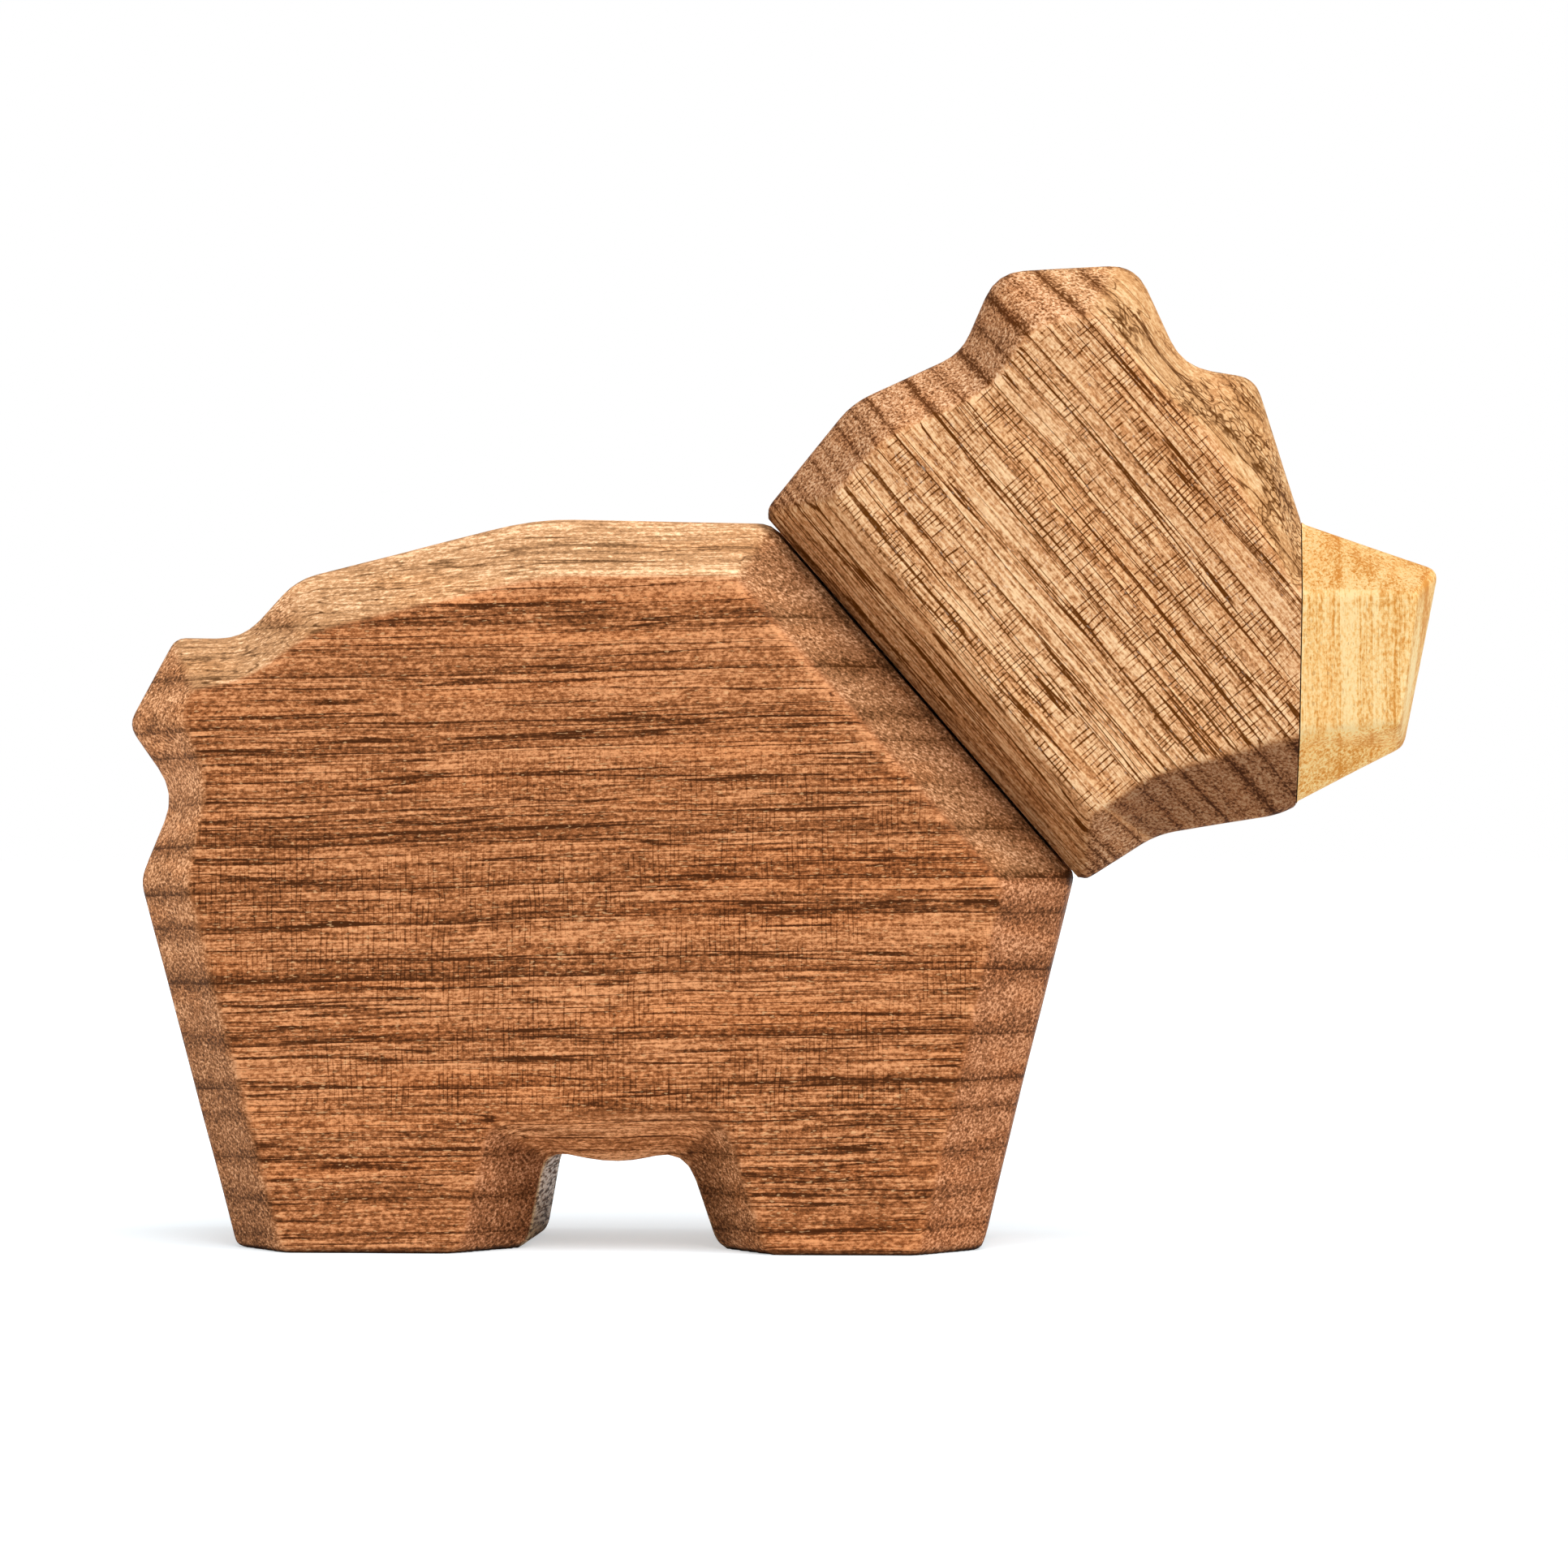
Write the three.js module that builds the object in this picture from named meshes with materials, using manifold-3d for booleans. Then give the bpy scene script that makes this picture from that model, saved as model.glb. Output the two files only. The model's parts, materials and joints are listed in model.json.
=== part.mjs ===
// A wooden bear figurine: a bevelled walnut body, a walnut head with a pale muzzle glued to it,
// and a disc magnet behind a wooden plug in each neck face. The magnets hold the head on its
// sloping neck, so it turns there and pulls away by hand.
//
// Millimetres, +Z up. The bear looks along +X and stands on z = 0, with the origin on the
// ground under the middle of its box.

import * as THREE from "three";
import { mergeVertices } from "three/addons/utils/BufferGeometryUtils.js";
import Module from "manifold-3d";

// Driving dimensions

const PLANK_THICKNESS = 36; // of the planks that the body, the head and the muzzle are sawn from
const BEVEL_DEPTH = 8; // how far every bevel runs back from a side face
const EDGE_SOFTENING = 0.8; // how far the sanding rounds over each edge of a bevel

const NECK_GAP = 0.3; // between the two neck faces
const NECK_OVERHANG = 1.2; // how far the head's neck face stands past the body's at each end
const NAPE_BEVEL = 4; // from the top of the head's neck face down to the rim of its side face
const THROAT_BEVEL = 4.6; // the same at the bottom of the neck face
const GLUE_LINE = 0.3; // between the head and the muzzle
const SEAM_ANGLE = 41.8; // degrees between the muzzle's glued face and the neck

const MAGNET_DIAMETER = 12;
const MAGNET_THICKNESS = 5;
const MAGNET_CHAMFER = 0.4;
const PLUG_THICKNESS = 2;
const BORE_CLEARANCE = 0.3; // round a magnet and its plug
const SEAT_CLEARANCE = 0.3; // under a magnet, and between it and its plug

const LEG_SPACING = 48.7; // between the middles of the front and rear soles
const LEG_LENGTH = 10; // from the ground to the top of the arch between the legs

// The corners of each block, in order round it. edge is on the sawn outline, face is on the rim of
// the flat side face, and round is how far to each side of the corner the sanding starts.

// The body's corners are measured along x from one of three stations, and upwards from the top of the
// arch between the legs.
const STATIONS = { frontLegs: 0, belly: -LEG_SPACING / 2, rearLegs: -LEG_SPACING };
const sole = -LEG_LENGTH;
const BODY_CORNERS = {
  tailTop: { from: "rearLegs", edge: [-21.7, 53.4], face: [-18.5, 47.8], round: 1 },
  tailRoot: { from: "rearLegs", edge: [-14.7, 53.3], face: [-12.9, 49], round: 2.8 },
  rump: { from: "rearLegs", edge: [-9, 59.5], face: [-5.6, 53.9], round: 2.2 },
  back: { from: "rearLegs", edge: [15.6, 65.7], face: [17.8, 59.5], round: 4.5 },
  neckTop: { from: "frontLegs", edge: [-8.5, 65.2], face: [-11.6, 59.4], round: 0.9 },
  neckBottom: { from: "frontLegs", edge: [23, 28.7], face: [15.9, 27.8], round: 0.9 },
  frontToe: { from: "frontLegs", edge: [13.6, sole], face: [7.4, sole], round: 0.9 },
  frontHeel: { from: "frontLegs", edge: [-13.7, sole], face: [-8.3, sole], round: 1.6 },
  archFront: { from: "frontLegs", edge: [-17.2, 0.3], face: [-12.7, 4.4], round: 3.4 },
  belly: { from: "belly", edge: [0.25, -1.3], face: [0.65, 4.2], round: 3.4 },
  archRear: { from: "rearLegs", edge: [17.1, 0.2], face: [12, 3.8], round: 2.4 },
  rearToe: { from: "rearLegs", edge: [15.2, sole], face: [9, sole], round: 1.6 },
  rearHeel: { from: "rearLegs", edge: [-15.3, sole], face: [-9.4, sole], round: 0.9 },
  haunch: { from: "rearLegs", edge: [-25.5, 28.2], face: [-19.2, 28.3], round: 1.4 },
  tailUnder: { from: "rearLegs", edge: [-21.7, 37.2], face: [-17, 38.2], round: 3.2 },
  tailTip: { from: "rearLegs", edge: [-26.7, 44.3], face: [-19.8, 45.3], round: 1.4 },
};

// A body corner in x and z.
function placed({ from, edge, face, round }) {
  const move = ([x, z]) => [STATIONS[from] + x, LEG_LENGTH + z];
  return { edge: move(edge), face: move(face), round };
}

// The neck runs between two corners of the body. Its frame has +X out of the body's neck face,
// +Z up along the face, and its origin in the middle of the face.
const neckLow = new THREE.Vector2(...placed(BODY_CORNERS.neckBottom).edge);
const neckHigh = new THREE.Vector2(...placed(BODY_CORNERS.neckTop).edge);
const neckMiddle = neckLow.clone().lerp(neckHigh, 0.5);
const neckSlope = Math.atan2(neckHigh.y - neckLow.y, neckHigh.x - neckLow.x) - Math.PI / 2;
const headNeckHalf = neckLow.distanceTo(neckHigh) / 2 + NECK_OVERHANG;

// The head's corners are the distance out from its neck face, and up along the neck.
const HEAD_CORNERS = {
  neckTop: { edge: [0, headNeckHalf], face: [6.3, headNeckHalf - NAPE_BEVEL], round: 1.4 },
  nape: { edge: [14.4, 27.9], face: [14.8, 22.4], round: 2.2 },
  earRear: { edge: [26.3, 24.3], face: [25.7, 19], round: 2.2 },
  earBackTip: { edge: [34.5, 28.2], face: [33.1, 21], round: 2.8 },
  earFrontTip: { edge: [45.9, 19.5], face: [39.7, 17.7], round: 2.8 },
  earFront: { edge: [42.7, 8.3], face: [38.9, 9.2], round: 3 },
  brow: { edge: [47.5, 2.5], face: [39.7, 0], round: 1.8 },
  bridge: { edge: [41.5, -11.7], face: [36, -17], round: 0.4 },
  noseTop: { edge: [48.8, -24.9], face: [45.5, -25], round: 1.2 },
  noseBottom: { edge: [34.2, -36.2], face: [34.9, -34.2], round: 0.8 },
  chin: { edge: [20, -33.3], face: [24.9, -27.2], round: 1.6 },
  throat: { edge: [9.1, -26.6], face: [12.8, -21.7], round: 2 },
  neckBottom: { edge: [0, -headNeckHalf], face: [5, THROAT_BEVEL - headNeckHalf], round: 1.2 },
};

// How finely the curves are stepped

const CORNER_STEPS = 4;
const EDGE_STEPS = 3;
const CIRCLE_SIDES = 32;
const ROUNDED_SHARE = 0.45; // the most of a side that one corner rounds, so that two never meet

// Finishes

const walnutBody = new THREE.MeshStandardMaterial({ color: 0x9c6240, roughness: 0.6, metalness: 0 });
const walnutHead = new THREE.MeshStandardMaterial({ color: 0xb07c52, roughness: 0.6, metalness: 0 });
const paleMaple = new THREE.MeshStandardMaterial({ color: 0xe3b46c, roughness: 0.6, metalness: 0 });
const walnutPlug = new THREE.MeshStandardMaterial({ color: 0x7d4e31, roughness: 0.65, metalness: 0 });
const nickelPlate = new THREE.MeshStandardMaterial({ color: 0xb9bbbd, roughness: 0.25, metalness: 1 });

// Solids that can be cut

const wasm = await Module();
wasm.setup();

function solidOf(geometry) {
  const bare = geometry.clone();
  bare.deleteAttribute("normal");
  bare.deleteAttribute("uv");
  const merged = mergeVertices(bare);
  const vertProperties = merged.attributes.position.array;
  const triVerts = new Uint32Array(merged.index.array);
  return new wasm.Manifold(new wasm.Mesh({ numProp: 3, vertProperties, triVerts }));
}

function geometryOf(solid) {
  const { vertProperties, triVerts } = solid.getMesh();
  const geometry = new THREE.BufferGeometry();
  geometry.setAttribute("position", new THREE.BufferAttribute(vertProperties, 3));
  geometry.setIndex(new THREE.BufferAttribute(triVerts, 1));
  geometry.computeVertexNormals();
  return geometry;
}

// A bevelled block, lofted through rings that run from one side face round to the other

// The block's outline with its corners rounded. share 0 is the sawn outline and share 1 the rim of
// the side face.
function ringAt(corners, share) {
  const points = corners.map(({ edge, face }) =>
    new THREE.Vector2(...edge).lerp(new THREE.Vector2(...face), share),
  );
  return points.flatMap((corner, i) => {
    const towards = (other) => {
      const side = corner.distanceTo(other);
      return corner.clone().lerp(other, Math.min(corners[i].round / side, ROUNDED_SHARE));
    };
    const start = towards(points.at(i - 1));
    const end = towards(points[(i + 1) % points.length]);
    return new THREE.QuadraticBezierCurve(start, corner, end).getPoints(CORNER_STEPS);
  });
}

// From the middle band out to a side face: x is a ring's share of the bevel, y is how far it lies
// from the block's middle plane.
function bevelProfile() {
  const outer = new THREE.Vector2(0, PLANK_THICKNESS / 2 - BEVEL_DEPTH);
  const inner = new THREE.Vector2(1, PLANK_THICKNESS / 2);
  const softened = EDGE_SOFTENING / BEVEL_DEPTH;
  const outerRound = new THREE.QuadraticBezierCurve(
    new THREE.Vector2(0, outer.y - EDGE_SOFTENING),
    outer,
    outer.clone().lerp(inner, softened),
  );
  const innerRound = new THREE.QuadraticBezierCurve(
    inner.clone().lerp(outer, softened),
    inner,
    new THREE.Vector2(1 + softened, inner.y),
  );
  return [...outerRound.getPoints(EDGE_STEPS), ...innerRound.getPoints(EDGE_STEPS)];
}

function bevelledBlock(corners) {
  const farSide = bevelProfile();
  const nearSide = farSide.map(({ x, y }) => new THREE.Vector2(x, -y)).reverse();
  const profile = [...nearSide, ...farSide];
  const rings = profile.map(({ x }) => ringAt(corners, x));
  const count = rings[0].length;
  const positions = rings.flatMap((ring, k) => ring.flatMap((p) => [p.x, profile[k].y, p.y]));

  const triangles = [];
  for (let k = 0; k + 1 < rings.length; k++) {
    for (let i = 0; i < count; i++) {
      const a = k * count + i;
      const b = k * count + ((i + 1) % count);
      triangles.push(a, b, a + count, b, b + count, a + count);
    }
  }
  const cap = THREE.ShapeUtils.triangulateShape(rings[0], []);
  const farCap = (rings.length - 1) * count;
  for (const [a, b, c] of cap) {
    triangles.push(a, b, c, farCap + a, farCap + c, farCap + b);
  }

  const geometry = new THREE.BufferGeometry();
  geometry.setAttribute("position", new THREE.Float32BufferAttribute(positions, 3));
  geometry.setIndex(triangles);
  return geometry;
}

// Cutters

const cutterSize = 3 * Math.max(PLANK_THICKNESS, 2 * headNeckHalf);

// Everything past the muzzle's seam, in the head's frame. side is 1 for the muzzle's side of it and
// -1 for the head's, and the cut stops short of the seam by the given distance.
function seamCutter(side, short) {
  const [out, up] = HEAD_CORNERS.bridge.edge;
  return new THREE.BoxGeometry(cutterSize, cutterSize, cutterSize)
    .translate(side * (cutterSize / 2 + short), 0, 0)
    .rotateY(THREE.MathUtils.degToRad(SEAM_ANGLE))
    .translate(out, 0, up);
}

const boreDepth = PLUG_THICKNESS + MAGNET_THICKNESS + 2 * SEAT_CLEARANCE;

// A blind bore for a magnet and its plug, in the neck's frame. inward is the way into the wood.
function magnetBore(inward) {
  const radius = MAGNET_DIAMETER / 2 + BORE_CLEARANCE;
  const pastFace = SEAT_CLEARANCE;
  const length = boreDepth + pastFace;
  return new THREE.CylinderGeometry(radius, radius, length, CIRCLE_SIDES)
    .rotateZ(Math.PI / 2)
    .translate(inward * (length / 2 - pastFace), 0, 0);
}

// The neck's frame, and the head's, which stands off it by the gap

const neck = new THREE.Group();
neck.position.set(neckMiddle.x, 0, neckMiddle.y);
neck.rotation.y = -neckSlope;
neck.updateMatrix();

const head = new THREE.Group();
head.position.x = NECK_GAP;
neck.add(head);

// Pieces

function piece(name, geometry, material) {
  const mesh = new THREE.Mesh(geometry, material);
  mesh.name = name;
  return mesh;
}

function makeBodyBlock() {
  const bore = magnetBore(-1).applyMatrix4(neck.matrix);
  const blank = solidOf(bevelledBlock(Object.values(BODY_CORNERS).map(placed)));
  return piece("body_block", geometryOf(blank.subtract(solidOf(bore))), walnutBody);
}

// The head and the muzzle are shaped together from one glued blank.
function makeHeadAndMuzzle() {
  const blank = solidOf(bevelledBlock(Object.values(HEAD_CORNERS)));
  const headBlock = blank.subtract(solidOf(seamCutter(1, 0))).subtract(solidOf(magnetBore(1)));
  const muzzle = blank.subtract(solidOf(seamCutter(-1, -GLUE_LINE)));
  return [
    piece("head_block", geometryOf(headBlock), walnutHead),
    piece("muzzle", geometryOf(muzzle), paleMaple),
  ];
}

// A disc magnet with chamfered rims, at the bottom of its bore.
function makeMagnet(name, inward) {
  const radius = MAGNET_DIAMETER / 2;
  const half = MAGNET_THICKNESS / 2;
  const profile = [
    new THREE.Vector2(0, -half),
    new THREE.Vector2(radius - MAGNET_CHAMFER, -half),
    new THREE.Vector2(radius, MAGNET_CHAMFER - half),
    new THREE.Vector2(radius, half - MAGNET_CHAMFER),
    new THREE.Vector2(radius - MAGNET_CHAMFER, half),
    new THREE.Vector2(0, half),
  ];
  const magnet = piece(name, new THREE.LatheGeometry(profile, CIRCLE_SIDES), nickelPlate);
  magnet.rotation.z = Math.PI / 2;
  magnet.position.x = inward * (PLUG_THICKNESS + SEAT_CLEARANCE + half);
  return magnet;
}

// A wooden disc that closes a magnet's bore, flush with the neck face.
function makePlug(name, inward) {
  const radius = MAGNET_DIAMETER / 2;
  const disc = new THREE.CylinderGeometry(radius, radius, PLUG_THICKNESS, CIRCLE_SIDES);
  const plug = piece(name, disc, walnutPlug);
  plug.rotation.z = Math.PI / 2;
  plug.position.x = (inward * PLUG_THICKNESS) / 2;
  return plug;
}

// The bear

neck.add(makeMagnet("body_magnet", -1), makePlug("body_magnet_plug", -1));
head.add(...makeHeadAndMuzzle(), makeMagnet("head_magnet", 1), makePlug("head_magnet_plug", 1));

const bear = new THREE.Group();
bear.add(makeBodyBlock(), neck);

// The origin goes under the middle of the box.
const figure = new THREE.Group();
figure.add(bear);
const box = new THREE.Box3().setFromObject(figure, true);
bear.position.x = -(box.min.x + box.max.x) / 2;

export default figure;
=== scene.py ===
"""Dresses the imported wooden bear: sanded walnut blocks, a pale muzzle, neck magnets and a white studio."""

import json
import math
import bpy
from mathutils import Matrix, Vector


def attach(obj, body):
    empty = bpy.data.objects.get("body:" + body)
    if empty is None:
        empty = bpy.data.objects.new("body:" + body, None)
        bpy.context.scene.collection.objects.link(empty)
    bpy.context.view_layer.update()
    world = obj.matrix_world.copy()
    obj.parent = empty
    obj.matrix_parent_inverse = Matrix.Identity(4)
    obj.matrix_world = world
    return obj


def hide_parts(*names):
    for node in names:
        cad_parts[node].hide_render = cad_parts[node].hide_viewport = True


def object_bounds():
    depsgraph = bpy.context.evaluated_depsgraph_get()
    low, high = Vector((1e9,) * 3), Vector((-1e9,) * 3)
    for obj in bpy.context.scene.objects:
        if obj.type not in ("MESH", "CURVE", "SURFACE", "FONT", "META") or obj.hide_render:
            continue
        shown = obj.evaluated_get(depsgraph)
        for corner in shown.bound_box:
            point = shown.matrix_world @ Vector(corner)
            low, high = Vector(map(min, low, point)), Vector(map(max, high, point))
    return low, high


bl_info = {
    "name": "Wooden Bear Figurine",
    "version": (1, 0, 0),
    "blender": (4, 5, 0),
    "location": "3D View > Sidebar > Bear",
    "description": "Makes the bear's blocks, neck magnets and studio around the packed frame",
    "category": "Add Mesh",
}

import bmesh
import bpy
import numpy as np
from bpy.props import FloatProperty, FloatVectorProperty, IntProperty, PointerProperty
from bpy.types import Operator, Panel, PropertyGroup
from mathutils import Vector, noise
from mathutils.bvhtree import BVHTree

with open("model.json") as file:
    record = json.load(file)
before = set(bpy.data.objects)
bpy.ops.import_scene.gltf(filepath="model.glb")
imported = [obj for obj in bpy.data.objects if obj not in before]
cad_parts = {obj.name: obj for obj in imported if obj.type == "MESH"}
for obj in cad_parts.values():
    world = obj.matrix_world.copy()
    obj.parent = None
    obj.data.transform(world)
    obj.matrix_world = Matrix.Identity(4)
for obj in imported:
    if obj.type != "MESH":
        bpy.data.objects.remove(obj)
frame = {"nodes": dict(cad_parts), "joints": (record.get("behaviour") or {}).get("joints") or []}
CAD_LOW, CAD_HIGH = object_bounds()

MM = 0.001
SENSOR_WIDTH = 36.0
CLIP_START = 0.01
CLIP_END = 50.0
FLOOR_HALF = 3.0
FLOOR_CELLS = 8

# The neck's frame, from the joint that the head turns on.
SWIVEL = next(joint for joint in frame["joints"] if joint["type"] == "hinge")
NECK_MIDDLE = np.array(SWIVEL["pos_m"])
NECK_OUT = np.array(SWIVEL["axis"])
NECK_UP = np.array((-NECK_OUT[2], 0.0, NECK_OUT[0]))
BORE_REACH = 8 * MM

# Rings of the body, from its back down: the dark line's height in mm, its darkness, the tone between lines.
BODY_RINGS = (
    (78.0, 0.3, 0.60), (71.5, 0.35, 0.60), (65.3, 0.6, 0.58), (60.1, 0.9, 0.56), (54.8, 0.65, 0.56),
    (52.3, 0.75, 0.60), (47.4, 0.4, 0.62), (43.0, 0.85, 0.62), (38.1, 1.0, 0.64), (34.6, 0.8, 0.62),
    (28.8, 1.0, 0.66), (22.3, 0.7, 0.68), (17.5, 0.8, 0.66), (14.8, 0.65, 0.60), (10.4, 0.65, 0.60),
    (6.2, 0.55, 0.55), (2.6, 0.5, 0.54), (-2.0, 0.4, 0.54),
)
BODY_RING_LIFT = 0.35 * MM

# Rings of the head, out from the neck face, in the same way.
HEAD_RINGS = (
    (-4.0, 0.4, 0.62), (0.9, 0.8, 0.62), (1.8, 1.0, 0.62), (2.7, 0.6, 0.64), (3.6, 0.9, 0.64),
    (4.6, 0.5, 0.66), (7.6, 0.5, 0.74), (9.2, 0.4, 0.74), (11.7, 0.65, 0.74), (13.8, 0.5, 0.74),
    (15.9, 0.9, 0.72), (17.4, 0.35, 0.73), (20.3, 1.0, 0.72), (23.2, 0.55, 0.71), (26.5, 0.9, 0.70),
    (29.6, 0.6, 0.70), (32.4, 1.0, 0.68), (35.4, 0.4, 0.66), (37.8, 1.0, 0.70), (41.4, 0.8, 0.70),
    (44.8, 0.8, 0.70), (48.2, 0.6, 0.70), (52.0, 0.6, 0.70), (57.0, 0.5, 0.68), (62.0, 0.5, 0.68),
)

# Rings of the muzzle, out from the seam, in the same way.
MUZZLE_RINGS = (
    (-1.0, 0.4, 0.60), (1.6, 0.1, 0.72), (4.2, 0.9, 0.56), (5.8, 0.1, 0.60), (7.5, 0.9, 0.56),
    (8.5, 0.1, 0.80), (9.8, 0.7, 0.66), (11.2, 0.1, 0.76), (13.0, 0.8, 0.60), (17.0, 0.4, 0.60),
)

# The leg arch's middle, and how far from it the wood gets painted shade.
ARCH_MIDDLE = np.array((-17.0, 0.0, 2.0)) * MM
ARCH_REACH = (10 * MM, 17 * MM)

# Heights, counted downwards, between which the rump gets its full painted shade.
RUMP_DIM = (-45 * MM, -10 * MM)

# Height of the painted contact shadow, a dark line above a sole.
SOLE_DIM = 0.8 * MM

# Height over which the arch's walls fade into the painted shade below them.
WALL_DIM = 8 * MM

# The ridge between the throat's brown facet and the chin's dark one: a point on it, out from the neck and up
# along it, the way across it towards the chin, and half the width of the change.
THROAT_RIDGE = np.array((7.0, -20.7)) * MM
THROAT_WAY = np.array((0.97, 0.243))
THROAT_BLEND = 0.5 * MM

# How dark the painted shade makes the wood, from 0 to 1: on facets by the way they face the light, and in
# narrow corners.
ARCH_FORWARD_SHADE = 0.28
ARCH_BACKWARD_SHADE = 0.54
ARCH_WALL_SHADE = 0.55
RUMP_SHADE = 0.25
SHOULDER_SHADE = 0.1
BODY_NECK_SHADE = 0.8
NAPE_SHADE = 0.25
THROAT_SHADE = 0.3
HEAD_NECK_SHADE = 0.13
LOW_HEAD_NECK_SHADE = 0.29

# Distances from the neck's plane between which the dark at the neck fades out, and the stretch down the neck
# over which the head's wide one gets stronger.
BODY_NECK_REACH = (0.0, 1.3 * MM)
HEAD_NECK_NARROW = (0.0, 1.7 * MM)
HEAD_NECK_WIDE = (2.5 * MM, 6.5 * MM)
LOW_HEAD = (-10 * MM, 20 * MM)

# Ranges of a normal's share in some direction over which a facet begins to count as one kind.
SIDE_RANGE = (0.87, 0.97)
END_RANGE = (0.3, 0.7)
SAWN_RANGE = (0.35, 0.75)
RIDGE_RANGE = (0.5, 0.75)
RIM_RANGE = (-0.5, -0.25)
AROUND_RANGE = (-0.95, -0.85)
THROUGH_RANGE = (-0.4, -0.2)
ARCH_WALL_RANGE = (0.3, 0.6)
FACING_RANGE = (0.2, 0.5)
NAPE_RANGE = (0.2, 0.6)
ABOVE_RANGE = (-0.3, 0.0)
BESIDE_NECK_RANGE = (-0.95, -0.8)

# Bulge of a ridge over its neighbours, in carving steps.
RIDGE_BULGE = (0.015, 0.06)

# Mesh making: welding, strength and rounds of relaxing, its step back, and what counts as on a flat face.
WELD = 0.001 * MM
RELAXING = (0.5, 6)
LAST_RELAXING = (0.35, 1)
STEP_BACK = 1.03
FLAT_REACH = 0.15 * MM
FLAT_FACING = 0.95
SEAM_FACING = 0.99
SEAM_REACH = 0.5 * MM
SEAM_OVERLAP = 0.4 * MM
BORE_MARGIN = 0.4 * MM
CUTTER_OVERSHOOT = 1 * MM
ROUNDING_POINTS = 5
CRISP_ANGLE = math.radians(48)

# Waves that hand sanding leaves: their length, their share of the sanding wave and a shift of their noise.
SANDING = ((21 * MM, 1.6, (0, 0, 0)), (7 * MM, 0.6, (7, 3, 5)))


def length_of(name, description, default):
    return FloatProperty(name=name, description=description, default=default, unit="LENGTH", precision=5)


def number_of(name, description, default):
    return FloatProperty(name=name, description=description, default=default)


def angle_of(name, description, degrees):
    return FloatProperty(name=name, description=description, subtype="ANGLE", default=math.radians(degrees))


def colour_of(name, description, default):
    return FloatVectorProperty(
        name=name, description=description, subtype="COLOR", min=0, max=1, default=default
    )


# The colours that each wood has, and where it shows them.
WOOD_COLOURS = {
    "Dark": "Ring ends and pores",
    "Middle": "Most of a flat face",
    "Pale": "Light fibres and streaks",
    "Speck": "Dust and short marks in the pores",
    "End": "Facets cut across the grain",
    "Low End": "Facets cut across the far end of the grain",
    "Sap": "Facets along the outer rings",
    "Heart": "Facets along the inner rings",
}


def wood_colours(**colours):
    """Settings for the colours of one wood."""
    labels = {name: name.replace("_", " ").title() for name in colours}
    return {name: colour_of(label, WOOD_COLOURS[label], colours[name]) for name, label in labels.items()}


class BearShape(PropertyGroup):
    """Sizes of the sanded blocks and of the small parts in the neck."""

    carving_step: length_of("Carving Step", "Length of a face's side on the sanded blocks", 0.52 * MM)
    sanding_wave: length_of("Sanding Wave", "How far hand sanding leaves a facet from flat", 0.07 * MM)
    glue_line: length_of("Glue Line", "Width of the line where the muzzle meets the head", 0.12 * MM)
    disc_round: length_of("Disc Rounding", "Rounding of the rims of magnets and plugs", 0.35 * MM)
    disc_sides: IntProperty(name="Disc Sides", description="Sides of a turned disc", default=96, min=24)


class BodyWalnut(PropertyGroup):
    """Colours of the body's walnut."""

    __annotations__ = wood_colours(
        dark=(0.07, 0.019, 0.0035), middle=(0.38, 0.130, 0.042),
        pale=(0.88, 0.40, 0.175), speck=(0.88, 0.52, 0.25),
        end=(0.64, 0.272, 0.109), low_end=(0.445, 0.172, 0.069),
        sap=(0.64, 0.345, 0.160), heart=(0.56, 0.22, 0.08),
    )


class HeadWalnut(PropertyGroup):
    """Colours of the head's lighter walnut."""

    __annotations__ = wood_colours(
        dark=(0.115, 0.031, 0.001), middle=(0.62, 0.290, 0.118),
        pale=(0.98, 0.66, 0.37), speck=(0.95, 0.80, 0.62),
        end=(0.63, 0.285, 0.125), low_end=(0.225, 0.083, 0.031),
        sap=(0.59, 0.318, 0.133), heart=(0.645, 0.296, 0.115),
    )


class MuzzleMaple(PropertyGroup):
    """Colours of the muzzle's maple."""

    __annotations__ = wood_colours(
        dark=(0.66, 0.27, 0.045), middle=(0.88, 0.530, 0.190),
        pale=(0.95, 0.715, 0.355), speck=(0.48, 0.20, 0.04),
        end=(0.67, 0.375, 0.123), low_end=(1.0, 0.60, 0.20),
        sap=(0.90, 0.57, 0.22), heart=(0.90, 0.55, 0.21),
    )


class BearStudio(PropertyGroup):
    """Camera and light of the white studio."""

    lens: number_of("Lens", "Focal length in mm", 135.25)
    eye: FloatVectorProperty(
        name="Eye", description="Where the camera stands", unit="LENGTH", default=(0.0366, -0.6189, 0.04818)
    )
    turn: angle_of("Turn", "How far the camera looks to the left of square", 3.4)
    key_strength: number_of("Key Strength", "Strength of the main light", 2.7)
    key_rise: angle_of("Key Rise", "Height of the main light over the horizon", 60)
    key_swing: angle_of("Key Swing", "How far to the right of the camera the main light stands", 38)
    key_spread: angle_of("Key Spread", "Apparent size of the main light", 60)
    fill: number_of("Fill", "Strength of the light from all round", 0.72)
    floor_white: FloatVectorProperty(
        name="Floor White", description="Whiteness of the floor to the eye", default=(0.62, 0.70, 0.75)
    )
    floor_glow: number_of("Floor Glow", "Light of the floor's own, to the eye", 0.5)
    bounce: number_of("Bounce", "Share of its light that the floor throws back at the bear", 0.68)


# Meshes: copies of the CAD blocks, remade as even faces and sanded.


def read(items, label, width, kind=float):
    """One value of all the items, in rows of some width."""
    flat = np.empty(width * len(items), kind)
    items.foreach_get(label, flat)
    return flat.reshape(-1, width)


def points_of(mesh):
    return read(mesh.vertices, "co", 3)


def normals_of(mesh):
    return read(mesh.vertex_normals, "vector", 3, np.float32).astype(float)


def edges_of(mesh):
    return read(mesh.edges, "vertices", 2, np.int32)


def set_points(mesh, points):
    mesh.vertices.foreach_set("co", points.astype(np.float32).ravel())
    mesh.update()


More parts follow.
